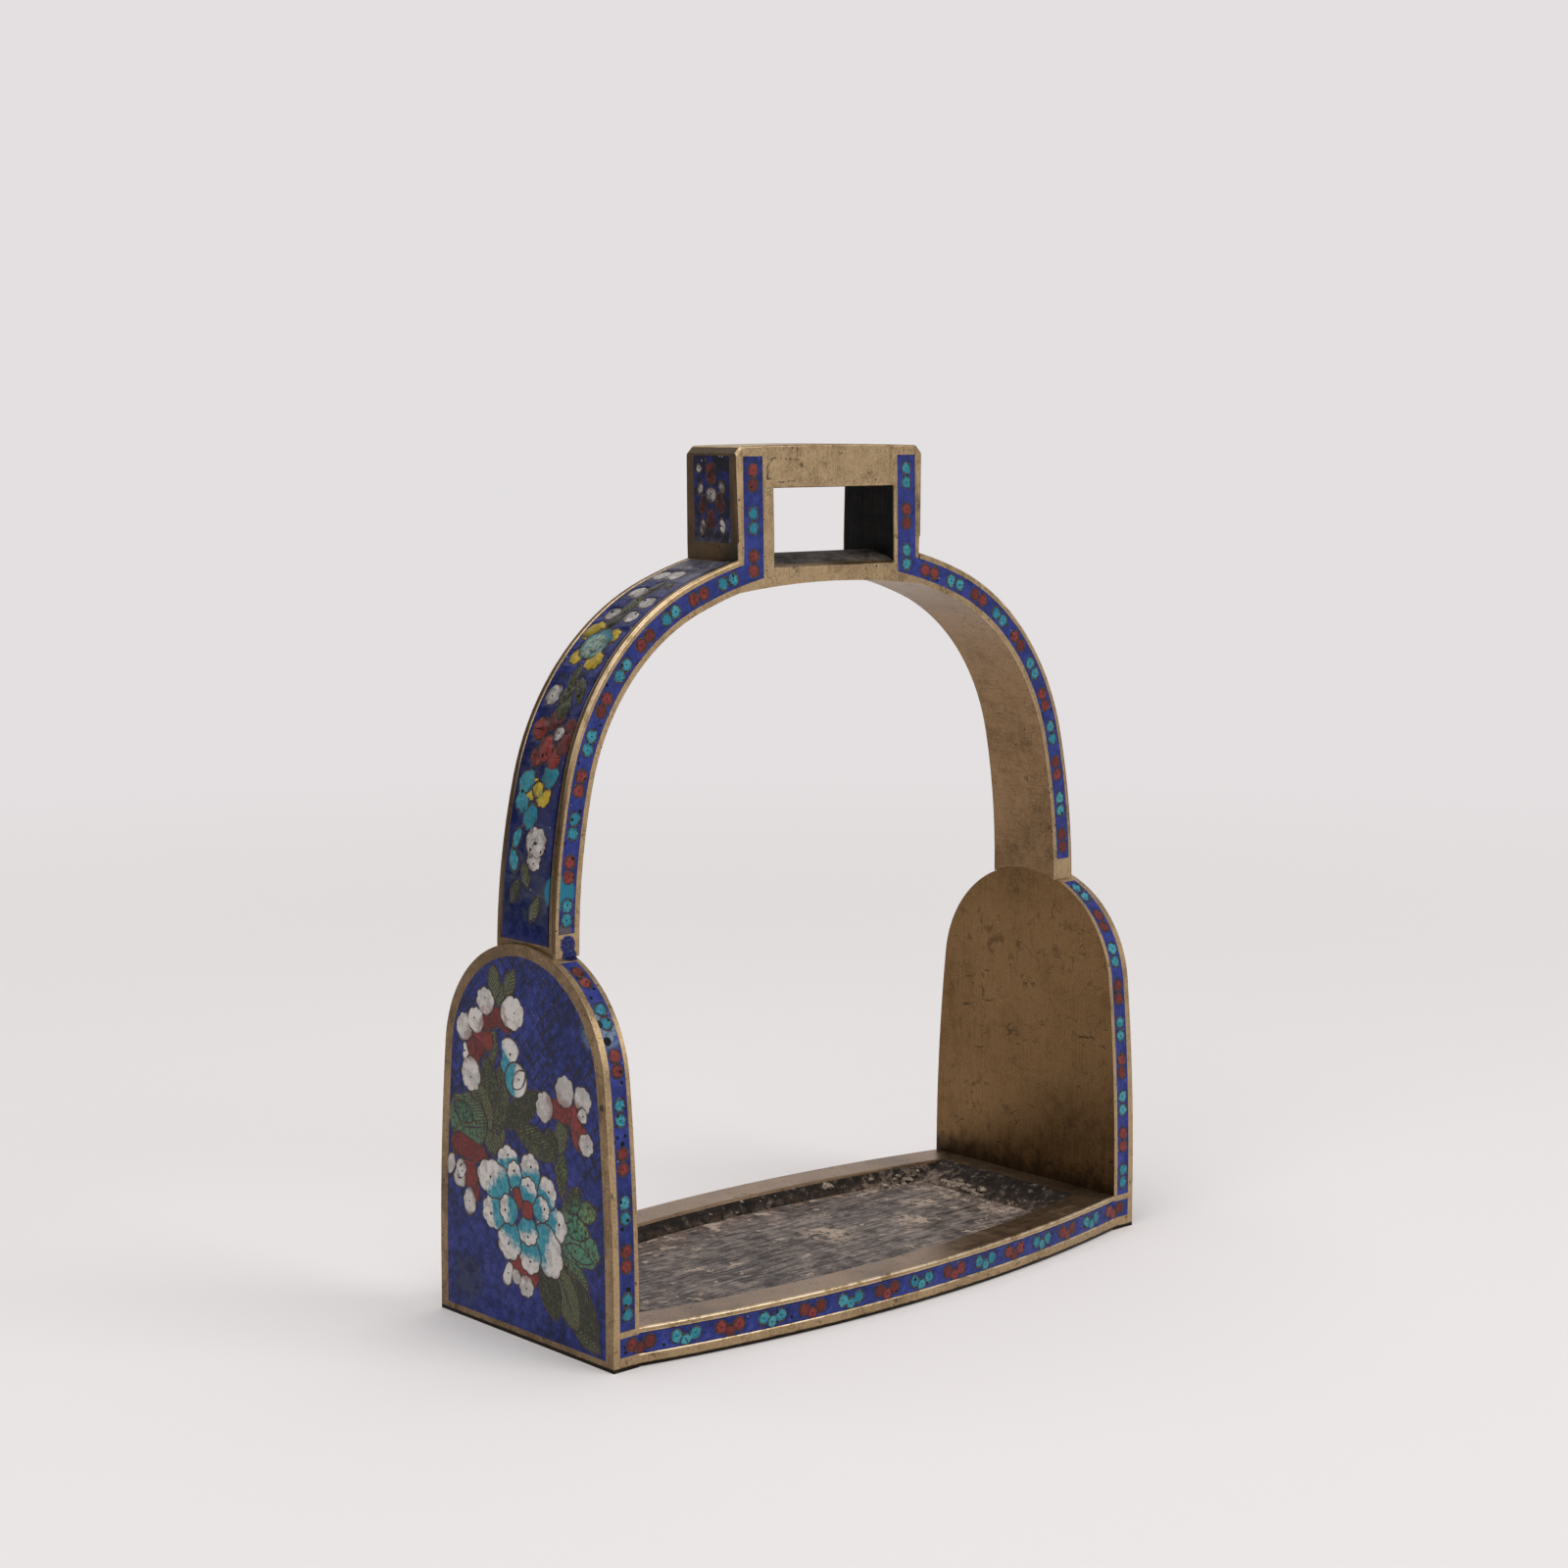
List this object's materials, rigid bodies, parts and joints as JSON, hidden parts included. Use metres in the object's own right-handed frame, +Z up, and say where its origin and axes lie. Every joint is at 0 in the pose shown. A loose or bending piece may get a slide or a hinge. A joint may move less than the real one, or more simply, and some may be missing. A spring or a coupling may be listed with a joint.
{
  "type": "stirrup",
  "caption": "Arched brass riding stirrup with a recessed flat tread, a strap loop on the crown and floral enamel panels let into its outer faces.",
  "frame": {"origin": "middle of the foot plate's underside, on the surface the stirrup stands on", "axes": "+Z up through the strap loop, +X along the foot plate, +Y from the front edge to the back edge"},
  "size_m": [0.1336, 0.0634, 0.1556],
  "materials": {
    "brass": "worn brown patina",
    "tread": "dark, trodden and dirty",
    "plug": "dark patina",
    "wire": "dulled, level with the glass",
    "blue_enamel": "opaque polished glass",
    "petal_enamel": "opaque, white to turquoise",
    "white_enamel": "opaque, pitted",
    "red_enamel": "opaque brick red",
    "green_enamel": "opaque dull green",
    "yellow_enamel": "opaque yellow",
    "turquoise_enamel": "opaque turquoise"
  },
  "bodies": {
    "root": {"bow": "brass", "strap_loop": "brass", "left_side_plate": "brass", "right_side_plate": "brass", "foot_plate": "brass", "tread_plate": "tread", "border_plug": "plug", "left_plate_ground": "blue_enamel", "left_plate_flower_petals": "petal_enamel", "left_plate_white_petals": "white_enamel", "left_plate_red_calyxes": "red_enamel", "left_plate_green_leaves": "green_enamel", "left_plate_wires": "wire", "left_bow_ground": "blue_enamel", "left_bow_white_cells": "white_enamel", "left_bow_green_cells": "green_enamel", "left_bow_yellow_cells": "yellow_enamel", "left_bow_red_cells": "red_enamel", "left_bow_turquoise_cells": "turquoise_enamel", "left_bow_wires": "wire", "left_loop_ground": "blue_enamel", "left_loop_red_cells": "red_enamel", "left_loop_pale_cells": "white_enamel", "left_loop_wires": "wire", "right_plate_ground": "blue_enamel", "right_plate_flower_petals": "petal_enamel", "right_plate_white_petals": "white_enamel", "right_plate_red_calyxes": "red_enamel", "right_plate_green_leaves": "green_enamel", "right_plate_wires": "wire", "right_bow_ground": "blue_enamel", "right_bow_white_cells": "white_enamel", "right_bow_green_cells": "green_enamel", "right_bow_yellow_cells": "yellow_enamel", "right_bow_red_cells": "red_enamel", "right_bow_turquoise_cells": "turquoise_enamel", "right_bow_wires": "wire", "right_loop_ground": "blue_enamel", "right_loop_red_cells": "red_enamel", "right_loop_pale_cells": "white_enamel", "right_loop_wires": "wire", "front_foot_ground": "blue_enamel", "front_left_plate_edge_ground": "blue_enamel", "front_left_bow_edge_ground": "blue_enamel", "front_right_plate_edge_ground": "blue_enamel", "front_right_bow_edge_ground": "blue_enamel", "front_red_blossoms": "red_enamel", "front_turquoise_blossoms": "turquoise_enamel", "front_strip_wires": "wire", "back_foot_ground": "blue_enamel", "back_left_plate_edge_ground": "blue_enamel", "back_left_bow_edge_ground": "blue_enamel", "back_right_plate_edge_ground": "blue_enamel", "back_right_bow_edge_ground": "blue_enamel", "back_red_blossoms": "red_enamel", "back_turquoise_blossoms": "turquoise_enamel", "back_strip_wires": "wire"}
  },
  "joints": []
}
